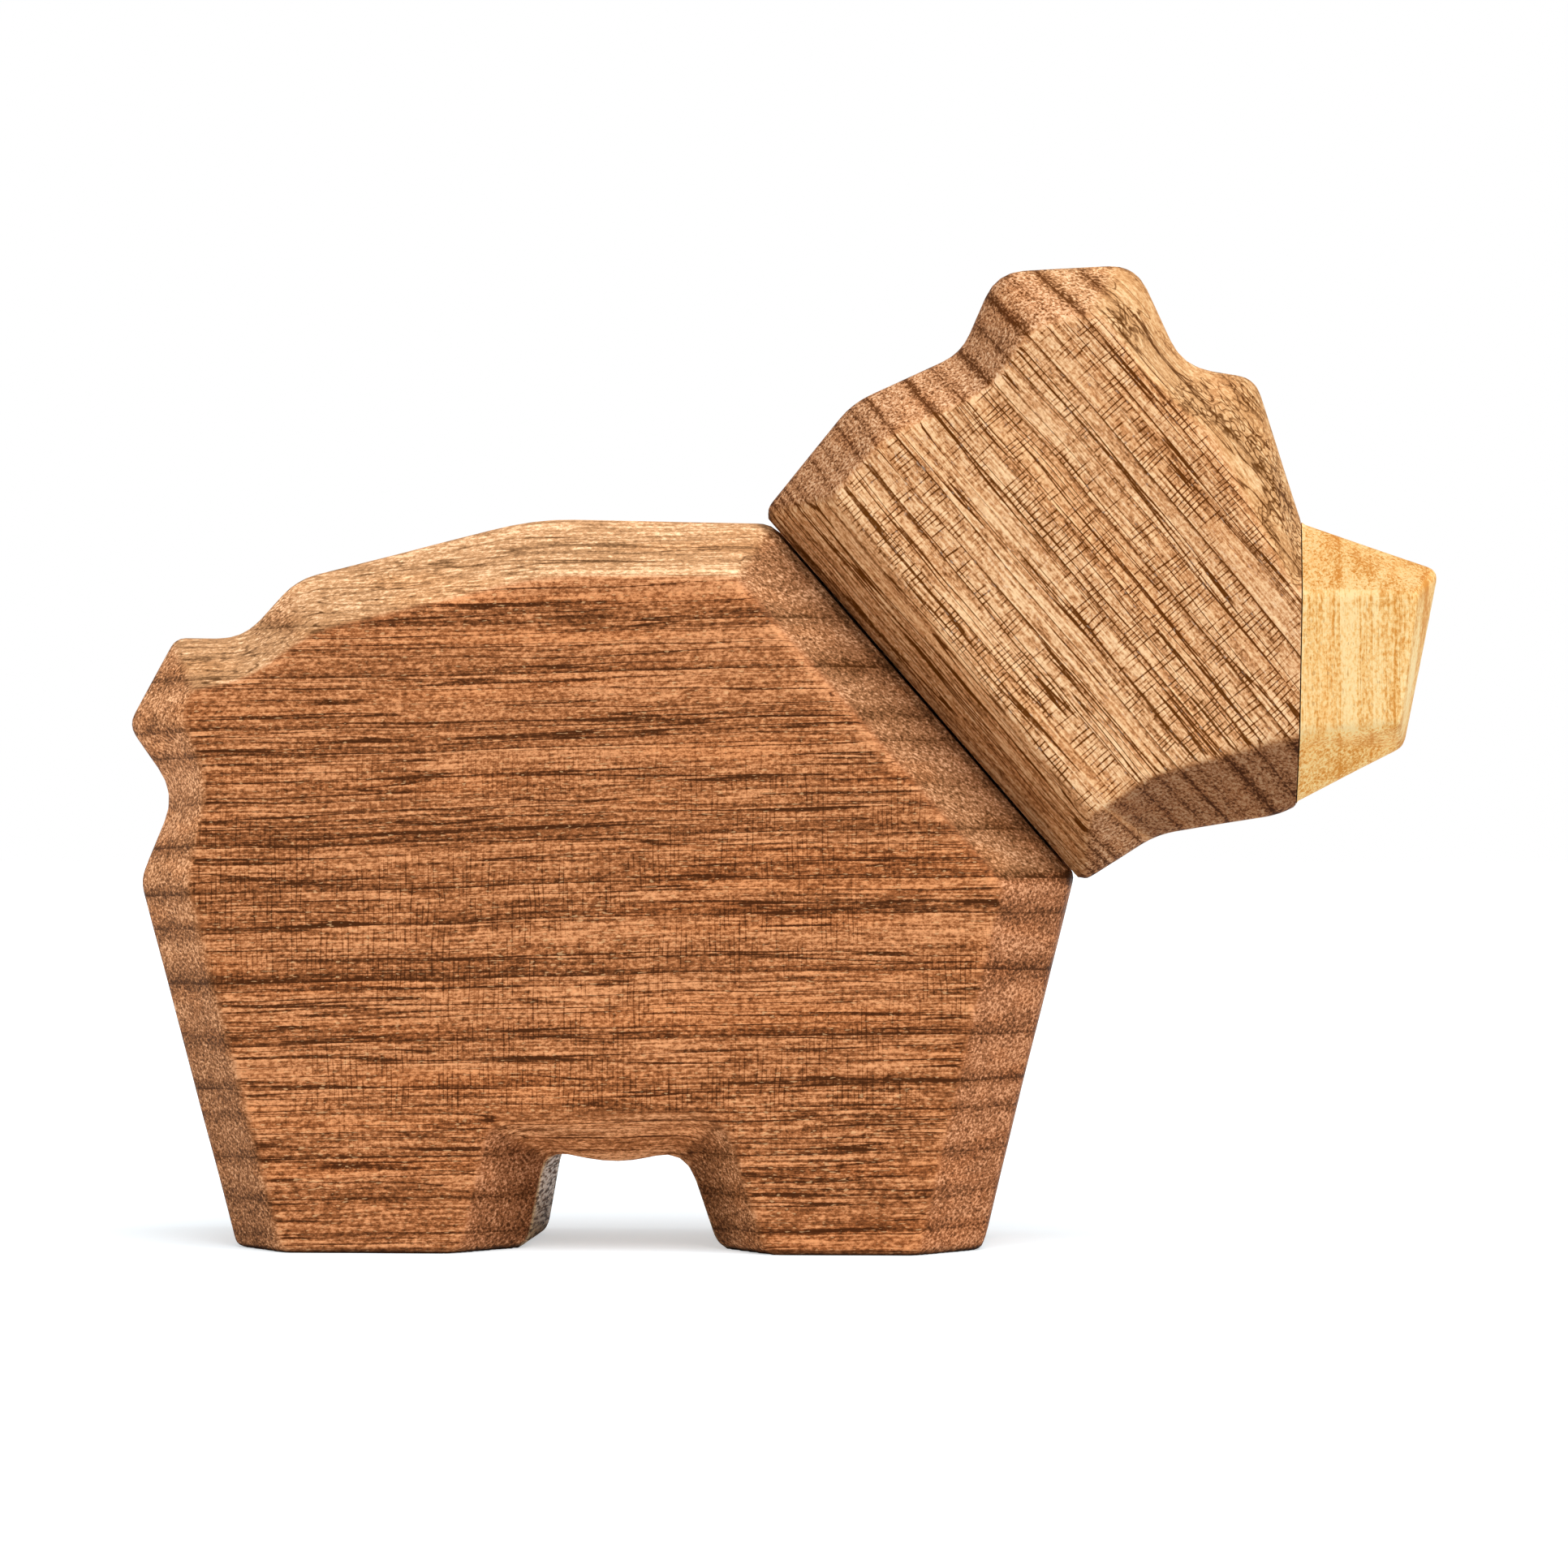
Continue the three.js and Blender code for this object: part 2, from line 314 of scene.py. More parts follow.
def smooth_step(value, low, high):
    share = np.clip((value - low) / (high - low), 0, 1)
    return share * share * (3 - 2 * share)


def new_piece(name, mesh):
    piece = bpy.data.objects.new(name, mesh)
    bpy.context.scene.collection.objects.link(piece)
    return piece


def cad_mesh(node):
    """A welded bmesh of a CAD node, in the row frame."""
    made = bmesh.new()
    made.from_mesh(frame["nodes"][node].data)
    bmesh.ops.remove_doubles(made, verts=made.verts, dist=WELD)
    return made


def mesh_from(made, name):
    """A mesh of a bmesh's solids, with their faces turned outwards."""
    bmesh.ops.recalc_face_normals(made, faces=made.faces)
    mesh = bpy.data.meshes.new(name)
    made.to_mesh(mesh)
    made.free()
    return mesh


def turned_disc(made, radius, low, high, rounding, sides):
    """Adds a closed disc on the neck's axis to a bmesh, from low to high along it, with rounded rims."""
    turns = np.linspace(0, math.pi / 2, ROUNDING_POINTS) if rounding else (math.pi / 2,)
    corner = [(rounding * (1 - math.sin(t)), rounding * (1 - math.cos(t))) for t in turns]
    profile = [(radius - inset, low + rise) for inset, rise in corner]
    profile += [(radius - inset, high - rise) for inset, rise in reversed(corner)]
    side_way = Vector((0, 1, 0))
    rings = []
    for reach, along in profile:
        centre = Vector(NECK_MIDDLE + along * NECK_OUT)
        ring = []
        for turn in np.linspace(0, 2 * math.pi, sides, endpoint=False):
            arm = math.cos(turn) * side_way + math.sin(turn) * Vector(NECK_UP)
            ring.append(made.verts.new(centre + float(reach) * arm))
        rings.append(ring)
    for lower, upper in zip(rings, rings[1:]):
        for i in range(sides):
            j = (i + 1) % sides
            made.faces.new((lower[i], lower[j], upper[j], upper[i]))
    made.faces.new(rings[0][::-1])
    made.faces.new(rings[-1])


def disc_mesh(name, radius, low, high, rounding, sides):
    made = bmesh.new()
    turned_disc(made, radius, low, high, rounding, sides)
    return mesh_from(made, name)


def bore_of(node):
    """Radius and the two ends, along the neck's axis, of the bore or disc that a CAD node has there."""
    away = points_of(frame["nodes"][node].data) - NECK_MIDDLE
    along = away @ NECK_OUT
    reach = np.linalg.norm(away - along[:, None] * NECK_OUT, axis=1)
    near = (reach < BORE_REACH) & (np.abs(along) < 2 * BORE_REACH)
    return float(reach[near].max()), float(along[near].min()), float(along[near].max())


def block_mesh(name, made, step):
    """Turns closed solids in a bmesh into one block of even faces, without visible steps of the grid."""
    mesh = bpy.data.meshes.new(name)
    bmesh.ops.recalc_face_normals(made, faces=made.faces)
    made.to_mesh(mesh)
    solid = BVHTree.FromBMesh(made)
    made.free()
    blank = new_piece(name + "_blank", mesh)
    remesh = blank.modifiers.new("even faces", "REMESH")
    remesh.mode = "VOXEL"
    remesh.voxel_size = step
    graph = bpy.context.evaluated_depsgraph_get()
    even = bpy.data.meshes.new_from_object(blank.evaluated_get(graph), depsgraph=graph)
    even.name = name
    bpy.data.objects.remove(blank)
    bpy.data.meshes.remove(mesh)
    points = relaxed(points_of(even), edges_of(even), *RELAXING)
    snapped = np.array([solid.find_nearest(Vector(point))[0] for point in points])
    set_points(even, relaxed(snapped, edges_of(even), *LAST_RELAXING))
    return even


def neighbour_mean(points, edges):
    total = np.zeros_like(points)
    np.add.at(total, edges[:, 0], points[edges[:, 1]])
    np.add.at(total, edges[:, 1], points[edges[:, 0]])
    return total / np.bincount(edges.ravel(), minlength=len(points))[:, None]


def relaxed(points, edges, strength, rounds):
    """Points after rounds of a smoothing step and a step back, which evens the faces and keeps the size."""
    for _ in range(rounds):
        points = points + strength * (neighbour_mean(points, edges) - points)
        points = points - STEP_BACK * strength * (neighbour_mean(points, edges) - points)
    return points


def sanded(mesh, wave, keep_flat):
    """Leaves the facets slightly uneven, as hand sanding does, apart from where keep_flat is 1."""
    points = points_of(mesh)
    normals = normals_of(mesh)
    lift = np.zeros(len(points))
    for length, share, shift in SANDING:
        shift = Vector(shift)
        lift += share * np.array([noise.noise(Vector(p) / length + shift) for p in points])
    lift *= wave * (1 - keep_flat)
    set_points(mesh, points + lift[:, None] * normals)


def flattened(mesh, origin, way):
    """Sets the points just under a flat face exactly on it; gives 1 for these points and 0 for the others."""
    points = points_of(mesh)
    off = (points - origin) @ way
    flat = (np.abs(off) < FLAT_REACH) & (normals_of(mesh) @ way > FLAT_FACING)
    points[flat] -= off[flat, None] * way
    set_points(mesh, points)
    return flat.astype(float)


def set_mask(mesh, name, values):
    mask = mesh.attributes.get(name) or mesh.attributes.new(name, "FLOAT", "POINT")
    mask.data.foreach_set("value", values.astype(np.float32))


def signed_step(value, low, high):
    return np.sign(value) * smooth_step(np.abs(value), low, high)


def paint_masks(mesh, along, out, step):
    """Stores on the points where the side faces, the grain's ends and sides, the ridges and the rims are."""
    points = points_of(mesh)
    normals = normals_of(mesh)
    edges = edges_of(mesh)
    sideways = np.abs(normals[:, 1])
    bulge = np.einsum("ij,ij->i", points - neighbour_mean(points, edges), normals) / step
    for _ in range(2):
        bulge = 0.5 * bulge + 0.5 * neighbour_mean(bulge[:, None], edges)[:, 0]
    ridge = smooth_step(bulge, *RIDGE_BULGE)
    set_mask(mesh, "Side", smooth_step(sideways, *SIDE_RANGE))
    set_mask(mesh, "End", signed_step(normals @ along, *END_RANGE))
    set_mask(mesh, "Sawn", signed_step(normals @ out, *SAWN_RANGE))
    set_mask(mesh, "Ridge", ridge * smooth_step(sideways, *RIDGE_RANGE))
    set_mask(mesh, "Rim", ridge * smooth_step(-sideways, *RIM_RANGE))


def neck_shade(points, normals, near, far):
    """1 up to a near distance from the neck's plane, 0 beyond a far one and on the flat neck face."""
    off = np.abs((points - NECK_MIDDLE) @ NECK_OUT)
    beside = smooth_step(-np.abs(normals @ NECK_OUT), *BESIDE_NECK_RANGE)
    return smooth_step(-off, -far, -near) * beside


def cut_bore(piece, cutter_mesh):
    """Cuts a turned disc out of a piece."""
    cutter = new_piece("bore_cutter", cutter_mesh)
    cut = piece.modifiers.new("bore", "BOOLEAN")
    cut.operation = "DIFFERENCE"
    cut.solver = "EXACT"
    cut.object = cutter
    graph = bpy.context.evaluated_depsgraph_get()
    shaped = bpy.data.meshes.new_from_object(piece.evaluated_get(graph), depsgraph=graph)
    shaped.name = piece.name
    blank = piece.data
    piece.modifiers.clear()
    piece.data = shaped
    bpy.data.meshes.remove(blank)
    bpy.data.objects.remove(cutter)
    bpy.data.meshes.remove(cutter_mesh)


def finish_piece(piece, material, body, node):
    """Smooth shading with crisp cut edges, the material, and the piece's place in the frame."""
    mesh = piece.data
    mesh.shade_smooth()
    mesh.set_sharp_from_angle(angle=CRISP_ANGLE)
    mesh.materials.clear()
    mesh.materials.append(material)
    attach(piece, body)
    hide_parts(node)


def neck_block(name, solids, node, sign, shape):
    """A sanded block of CAD solids, its bore filled and its neck face flat; sign 1 faces along the neck."""
    radius, low, high = bore_of(node)
    face = high if sign > 0 else low
    floor = low - BORE_MARGIN if sign > 0 else high + BORE_MARGIN
    made = bmesh.new()
    for solid in solids:
        mesh = bpy.data.meshes.new("solid")
        solid.to_mesh(mesh)
        solid.free()
        made.from_mesh(mesh)
        bpy.data.meshes.remove(mesh)
    turned_disc(made, radius + BORE_MARGIN, min(face, floor), max(face, floor), 0.0, shape.disc_sides)
    mesh = block_mesh(name, made, shape.carving_step)
    flat = flattened(mesh, NECK_MIDDLE + face * NECK_OUT, sign * NECK_OUT)
    flat = np.maximum(flat, flattened(mesh, np.zeros(3), np.array((0.0, 0.0, -1.0))))
    sanded(mesh, shape.sanding_wave, flat)
    points = points_of(mesh)
    points[:, 2] = np.maximum(points[:, 2], CAD_LOW.z)
    set_points(mesh, points)
    return mesh


def bore_cutter(node, sign, shape):
    radius, low, high = bore_of(node)
    low, high = (low, high + CUTTER_OVERSHOOT) if sign > 0 else (low - CUTTER_OVERSHOOT, high)
    return disc_mesh("bore_cutter", radius, low, high, 0.0, shape.disc_sides)


def seam_plane():
    """A point and the outward normal of the head's face that the muzzle is glued to."""
    mesh = frame["nodes"]["head_block"].data
    facing = [p for p in mesh.polygons if p.normal.x > SEAM_FACING]
    way = sum((p.area * p.normal for p in facing), Vector()).normalized()
    height = max(Vector(p) @ way for p in points_of(mesh))
    return np.array(way) * height, np.array(way)


def half_of(mesh, name, origin, way):
    """The part of a block behind a plane, closed by a flat face on it."""
    made = bmesh.new()
    made.from_mesh(mesh)
    everything = made.verts[:] + made.edges[:] + made.faces[:]
    cut = bmesh.ops.bisect_plane(made, geom=everything, plane_co=origin, plane_no=way, clear_outer=True)
    rim = [e for e in cut["geom_cut"] if isinstance(e, bmesh.types.BMEdge)]
    bmesh.ops.contextual_create(made, geom=rim)
    return mesh_from(made, name)


# Node sheets: materials and node groups, written as lists of steps.


# Noises of the marks: features in a mm along the grain, through the block and out across the rings, then the
# detail and its roughness.
NOISES = {
    "long sway": ((0.018, 0.02, 0.03), 0.0, 0.5),
    "short sway": ((0.085, 0.08, 0.13), 1.0, 0.5),
    "streaks": ((0.014, 0.25, 0.45), 1.0, 0.5),
    "fibres": ((0.14, 1.6, 3.6), 2.0, 0.6),
    "lines": ((0.02, 0.35, 1.0), 1.5, 0.5),
    "grit": ((1.8, 2.6, 3.0), 2.0, 0.75),
    "pits": ((0.8, 3.4, 3.8), 1.5, 0.8),
    "specks": ((1.3, 5.0, 6.0), 0.0, 0.5),
    "tick sway": ((0.4, 0.1, 0.1), 1.0, 0.5),
    "tick gaps": ((0.9, 0.1, 0.4), 1.0, 0.5),
    "tick patches": ((0.05, 0.1, 0.1), 1.0, 0.5),
    "worms": ((1.2, 1.5, 1.8), 0.0, 0.5),
    "tear patches": ((0.09, 0.12, 0.12), 1.0, 0.5),
    "warm patches": ((0.03, 0.2, 0.35), 1.0, 0.5),
    "saw marks": ((2.4, 0.25, 2.8), 2.0, 0.7),
    "ring fading": ((0.04, 0.1, 0.3), 1.0, 0.5),
    "scuffs": ((0.5, 6.0, 2.0), 3.0, 0.5),
    "clouds": ((0.3, 0.3, 0.3), 2.0, 0.5),
}

# Where most of a noise lies.
NOISE_RANGE = (0.25, 0.75)

# Levels of their noises, or of a sine, between which marks set in.
LEVELS = {
    "specks": (0.69, 0.77),
    "rungs": (0.5, 0.95),
    "tick gaps": (0.38, 0.64),
    "tick patches": (0.28, 0.52),
    "tear patches": (0.44, 0.54),
    "ridge_rub_and_highlight": (-0.2, 0.5),
    "warmth": (0.0, 0.8),
}

# Sizes of marks in mm: how far ticks are apart and shifted from ring to ring, a plug's rings, and how far
# from the block's middle tears set in and the calm of tangent faces ends.
TICK_SPACING = 0.52
TICK_SHIFT = 17.3
PLUG_RING = 1.7
TEAR_REACH = (9.0, 12.0)
CALM_REACH = (13.0, 9.5)

# Tones: of wood open enough for ticks, and from the darkest wood to the palest.
OPEN_WOOD = (0.57, 0.64)
TONES = (-0.3, 1.3)

# What rubbed ridges with a painted highlight, rims with a painted dark edge and painted shade add to the
# tone, and how the painted shade dims the colour.
RIDGE_TONE = 0.24
RIM_TONE = -0.3
SHADE_TONE = -0.4
SHADE_DIM = -0.75

# How far ticks and tears stand out, where fibres stand out by 1.
TICK_RELIEF = -0.7
TEAR_RELIEF = -1.3

# The arch's sawn walls: depths of the saw marks, their tones and sheens, the colour and its share; the pale
# colour is partly the raw sawn wood's own and partly a painted reflection of the bright floor.
SAW_DEPTHS = (-0.45, 0.45)
SAWN_TONES = (0.15, 1.5)
SAWN_SHEEN = (0.0, 0.85)
SAWN_AND_REFLECTION_COLOUR = (1.0, 0.74, 0.40)
SAWN_SHARE = 0.75

# What the warm patches multiply the wood's colour by, and their largest share.
WARM_CAST = (1.02, 0.90, 0.76, 1.0)
WARM_SHARE = 0.5

# Surface of oiled wood.
BUMP_DEPTH = 0.05 * MM
WOOD_GLOSS = 0.06
COAT_ROUGHNESS = 0.25


class NodeSheet:
    """Adds nodes to one node tree and joins them by value or by socket."""

    def __init__(self, tree):
        tree.nodes.clear()
        self.tree = tree

    def feed(self, socket, value):
        if isinstance(value, bpy.types.NodeSocket):
            self.tree.links.new(value, socket)
        else:
            socket.default_value = value

    def add(self, kind, inputs, **settings):
        made = self.tree.nodes.new(kind)
        for name, value in settings.items():
            setattr(made, name, value)
        for name, value in inputs.items():
            self.feed(made.inputs[name], value)
        return made

    def math(self, operation, *values, clamp=False):
        made = self.add("ShaderNodeMath", dict(enumerate(values)), operation=operation, use_clamp=clamp)
        return made.outputs[0]

    def times(self, first, second, clamp=False):
        return self.math("MULTIPLY", first, second, clamp=clamp)

    def weigh_in(self, value, weight, base):
        """A base plus a value times its weight."""
        return self.math("MULTIPLY_ADD", value, weight, base)

    def part(self, vector, axis):
        return self.add("ShaderNodeSeparateXYZ", {"Vector": vector}).outputs[axis]

    def vector(self, operation, *values):
        made = self.add("ShaderNodeVectorMath", dict(enumerate(values)), operation=operation)
        return made.outputs["Value" if operation == "DOT_PRODUCT" else "Vector"]

    def step(self, value, low, high, out_low=0.0, out_high=1.0, kind="SMOOTHSTEP"):
        sockets = {"Value": value, "From Min": low, "From Max": high, "To Min": out_low, "To Max": out_high}
        return self.add("ShaderNodeMapRange", sockets, interpolation_type=kind).outputs["Result"]

    def noise(self, place, mark):
        stretch, detail, roughness = NOISES[mark]
        drawn = self.vector("MULTIPLY", place, stretch)
        sockets = {"Vector": drawn, "Scale": 1.0, "Detail": detail, "Roughness": roughness}
        return self.add("ShaderNodeTexNoise", sockets).outputs["Fac"]

    def swing(self, place, mark):
        """A noise that swings between about -1 and 1."""
        return self.step(self.noise(place, mark), *NOISE_RANGE, -1.0, 1.0, kind="LINEAR")

    def patches(self, place, mark):
        """1 where a noise is above a mark's levels and 0 where it is below them."""
        return self.step(self.noise(place, mark), *LEVELS[mark])

    def threads(self, place, mark, width):
        """Thin lines, 1 on a line and 0 beside it, where a noise crosses its middle."""
        off = self.math("ABSOLUTE", self.swing(place, mark))
        return self.step(off, width, 0.3 * width)

    def mix(self, share, first, second, blend="MIX"):
        made = self.add("ShaderNodeMix", {0: share, 6: first, 7: second}, data_type="RGBA", blend_type=blend)
        return made.outputs[2]

    def scaled(self, colour, amount):
        made = self.add("ShaderNodeVectorMath", {"Vector": colour, "Scale": amount}, operation="SCALE")
        return made.outputs["Vector"]

    def group(self, group, inputs):
        return self.add("ShaderNodeGroup", inputs, node_tree=group).outputs


def sockets(kind, *names):
    return dict.fromkeys(names, kind)


def shared_group(name, inputs, outputs):
    """Turns a wiring function into one that gives its node group, wired once and shared by the materials."""

    def shared(wire):
        def group():
            found = bpy.data.node_groups.get(name)
            if found:
                return found
            made = bpy.data.node_groups.new(name, "ShaderNodeTree")
            for side, labels in (("INPUT", inputs), ("OUTPUT", outputs)):
                for label, kind in labels.items():
                    made.interface.new_socket(name=label, in_out=side, socket_type="NodeSocket" + kind)
            sheet = NodeSheet(made)
            taken = sheet.add("NodeGroupInput", {}).outputs
            sheet.add("NodeGroupOutput", wire(sheet, taken))
            return made

        return group

    return shared


@shared_group("Grain Frame", sockets("Vector", "Along", "Out", "Origin"), sockets("Vector", "Grain"))
def grain_frame_group(sheet, taken):
    """Places in mm: x along the grain, y through the block's thickness, z out across the rings."""
    place = sheet.add("ShaderNodeTexCoord", {}).outputs["Object"]
    across = sheet.vector("CROSS_PRODUCT", taken["Out"], taken["Along"])
    away = sheet.vector("SUBTRACT", place, taken["Origin"])
    parts = {
        "X": sheet.vector("DOT_PRODUCT", away, taken["Along"]),
        "Y": sheet.vector("DOT_PRODUCT", away, across),
        "Z": sheet.vector("DOT_PRODUCT", away, taken["Out"]),
    }
    joined = sheet.add("ShaderNodeCombineXYZ", parts).outputs[0]
    return {"Grain": sheet.scaled(joined, 1 / MM)}


@shared_group(
    "Flowing Grain",
    sockets("Vector", "Grain") | sockets("Float", "Climb", "Long Sway", "Short Sway", "Heart", "Curl"),
    sockets("Vector", "Grain"),
)
def flow_group(sheet, taken):
    """Bends the grain's places, so that its lines climb, sway in two lengths and curl round the heart."""
    place = sheet.add("ShaderNodeSeparateXYZ", {"Vector": taken["Grain"]}).outputs
    long_sway = sheet.swing(taken["Grain"], "long sway")
    short_sway = sheet.swing(taken["Grain"], "short sway")
    height = sheet.weigh_in(place["X"], sheet.times(taken["Climb"], -1.0), place["Z"])
    height = sheet.weigh_in(long_sway, taken["Long Sway"], height)
    height = sheet.weigh_in(short_sway, taken["Short Sway"], height)
    reach = sheet.math("POWER", sheet.math("SUBTRACT", place["Y"], taken["Heart"]), 2.0)
    height = sheet.weigh_in(reach, taken["Curl"], height)
    return {"Grain": sheet.add("ShaderNodeCombineXYZ", {**place, "Z": height}).outputs[0]}


# Masks that are stored on the blocks' points.
MASKS = ("Side", "End", "Sawn", "Ridge", "Rim", "Shade", "Wall")

# How deep the marks of a wood are: of the body, the head, the muzzle and the plugs.
WOOD_DEPTHS = {
    "Streaks": (0.2, 0.08, 0.65, 0.2),
    "Fibres": (0.5, 0.5, 0.46, 0.3),
    "Lines": (0.66, 1.0, 0.3, 0.1),
    "Grit": (0.55, 0.5, 0.75, 0.4),
    "Pits": (0.55, 0.65, 0.8, 0.5),
    "Rings": (1.0, 1.4, 0.8, 0.5),
    "Bands": (0.32, 0.4, 0.35, 0.3),
    "Ticks": (0.4, 0.95, 0.0, 0.0),
    "Specks": (0.5, 0.2, 0.5, 0.2),
    "Tears": (0.1, 0.5, 0.0, 0.0),
    "Tints": (0.85, 0.85, 0.85, 0.0),
    "Bevels": (0.55, 0.55, 0.9, 0.6),
}

# How the same woods' grain flows, in mm, how their rings end, and how strong their bumps are.
WOOD_FLOWS = {
    "Climb": (0.02, 0.0, 0.0, 0.0),
    "Long Sway": (0.35, 0.7, 0.4, 0.8),
    "Short Sway": (0.12, 0.12, 0.2, 0.3),
    "Heart": (10.0, -6.0, 0.0, 9.0),
    "Curl": (-0.0004, 0.0012, 0.001, 0.01),
}
RING_ENDS = {"Sharpness": (16.0, 16.0, 9.0), "Shade": (0.35, 0.16, 0.25), "Fade": (0.45, 0.2, 0.45)}
WOOD_BUMPS = (0.5, 0.5, 0.35, 0.4)
WOOD_RINGS = (BODY_RINGS, HEAD_RINGS, MUZZLE_RINGS)
BODY_WOOD, HEAD_WOOD, MUZZLE_WOOD, PLUG_WOOD = range(4)

# Which colour a bevel gets, by the way that the grain is cut there: the mask, its sign and the colour.
CUTS = (("End", 1.0, "End"), ("End", -1.0, "Low End"), ("Sawn", 1.0, "Sap"), ("Sawn", -1.0, "Heart"))


@shared_group(
    "Grain Marks",
    sockets("Vector", "Grain"),
    sockets("Float", "Streaks", "Fibres", "Lines", "Grit", "Pits", "Specks"),
)
def mark_group(sheet, taken):
    """Marks along the grain: streaks, fibres, grit and pits from -1 to 1, lines and specks from 0 to 1."""
    grain = taken["Grain"]
    return {
        "Streaks": sheet.swing(grain, "streaks"),
        "Fibres": sheet.swing(grain, "fibres"),
        "Lines": sheet.threads(grain, "lines", 0.10),
        "Grit": sheet.swing(grain, "grit"),
        "Pits": sheet.swing(grain, "pits"),
        "Specks": sheet.patches(grain, "specks"),
    }


@shared_group("Ladder Ticks", {"Grain": "Vector", "Band": "Float"}, {"Ticks": "Float"})
def tick_group(sheet, taken):
    """Short thin marks across the grain, like a ladder's rungs, which start and stop at the rings."""
    shift = {"X": sheet.times(taken["Band"], TICK_SHIFT)}
    shifted = sheet.vector("ADD", taken["Grain"], sheet.add("ShaderNodeCombineXYZ", shift).outputs[0])
    sway = sheet.swing(shifted, "tick sway")
    count = sheet.weigh_in(sway, 0.6, sheet.math("DIVIDE", sheet.part(shifted, "X"), TICK_SPACING))
    rungs = sheet.step(sheet.math("SINE", sheet.times(count, 2 * math.pi)), *LEVELS["rungs"])
    uneven = sheet.times(rungs, sheet.patches(shifted, "tick gaps"))
    return {"Ticks": sheet.times(uneven, sheet.patches(shifted, "tick patches"))}


@shared_group("Torn Grain", {"Grain": "Vector"}, {"Tears": "Float", "Worms": "Float"})
def tear_group(sheet, taken):
    """Patches of worm-like tears, where a bevel was cut against the grain."""
    worms = sheet.threads(taken["Grain"], "worms", 0.45)
    from_middle = sheet.math("ABSOLUTE", sheet.part(taken["Grain"], "Y"))
    patch = sheet.times(sheet.patches(taken["Grain"], "tear patches"), sheet.step(from_middle, *TEAR_REACH))
    return {"Tears": sheet.times(worms, patch), "Worms": worms}


@shared_group("Block Masks", {}, sockets("Float", *MASKS))
def mask_group(sheet, _):
    return {mask: sheet.add("ShaderNodeAttribute", {}, attribute_name=mask).outputs["Fac"] for mask in MASKS}


